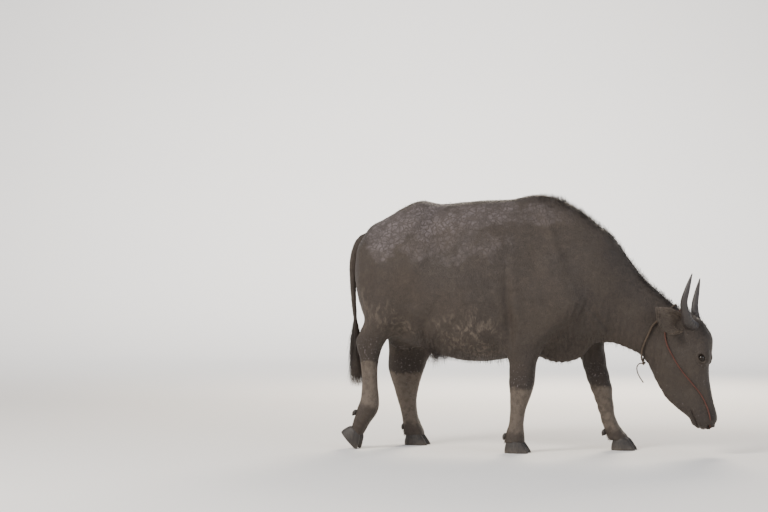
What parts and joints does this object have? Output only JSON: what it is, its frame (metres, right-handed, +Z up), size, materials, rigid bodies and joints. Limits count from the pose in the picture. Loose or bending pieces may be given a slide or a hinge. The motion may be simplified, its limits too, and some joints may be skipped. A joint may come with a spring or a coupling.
{
  "type": "water buffalo model",
  "caption": "Life-size still model of an adult water buffalo cow walking with its head lowered to the ground, with slender back-swept horns, a rope round the neck and a cord through the nose.",
  "frame": {"origin": "middle of the floor box, on the floor under the animal", "axes": "+X towards the head, +Y to the animal's left, +Z up"},
  "size_m": [1.9102, 0.5862, 1.2976],
  "materials": {
    "skin": "dull dark grey-brown hide with dried mud",
    "ear_skin": "hide with hair along the edge",
    "horn": "ridged dark horn",
    "hoof": "worn dark hoof",
    "eye": "wet and glossy",
    "hair": "coarse hair",
    "rope": "weathered laid rope",
    "nose_rope": "thin reddish cord"
  },
  "bodies": {
    "root": {"claw_front_left_left": "hoof", "claw_front_left_right": "hoof", "claw_front_right_left": "hoof", "claw_front_right_right": "hoof", "claw_hind_left_left": "hoof", "claw_hind_left_right": "hoof", "claw_hind_right_left": "hoof", "claw_hind_right_right": "hoof", "dewclaw_front_left_left": "hoof", "dewclaw_front_left_right": "hoof", "dewclaw_front_right_left": "hoof", "dewclaw_front_right_right": "hoof", "dewclaw_hind_left_left": "hoof", "dewclaw_hind_left_right": "hoof", "dewclaw_hind_right_left": "hoof", "dewclaw_hind_right_right": "hoof", "ear_left": "ear_skin", "ear_right": "ear_skin", "eye_left": "eye", "eye_right": "eye", "head": "skin", "horn_left": "horn", "horn_right": "horn", "leg_front_left": "skin", "leg_front_right": "skin", "leg_hind_left": "skin", "leg_hind_right": "skin", "neck": "skin", "neck_rope": "rope", "neck_rope_end": "rope", "nose_rope": "nose_rope", "tail": "skin", "tail_switch": "hair", "torso": "skin", "udder": "skin"}
  },
  "joints": []
}
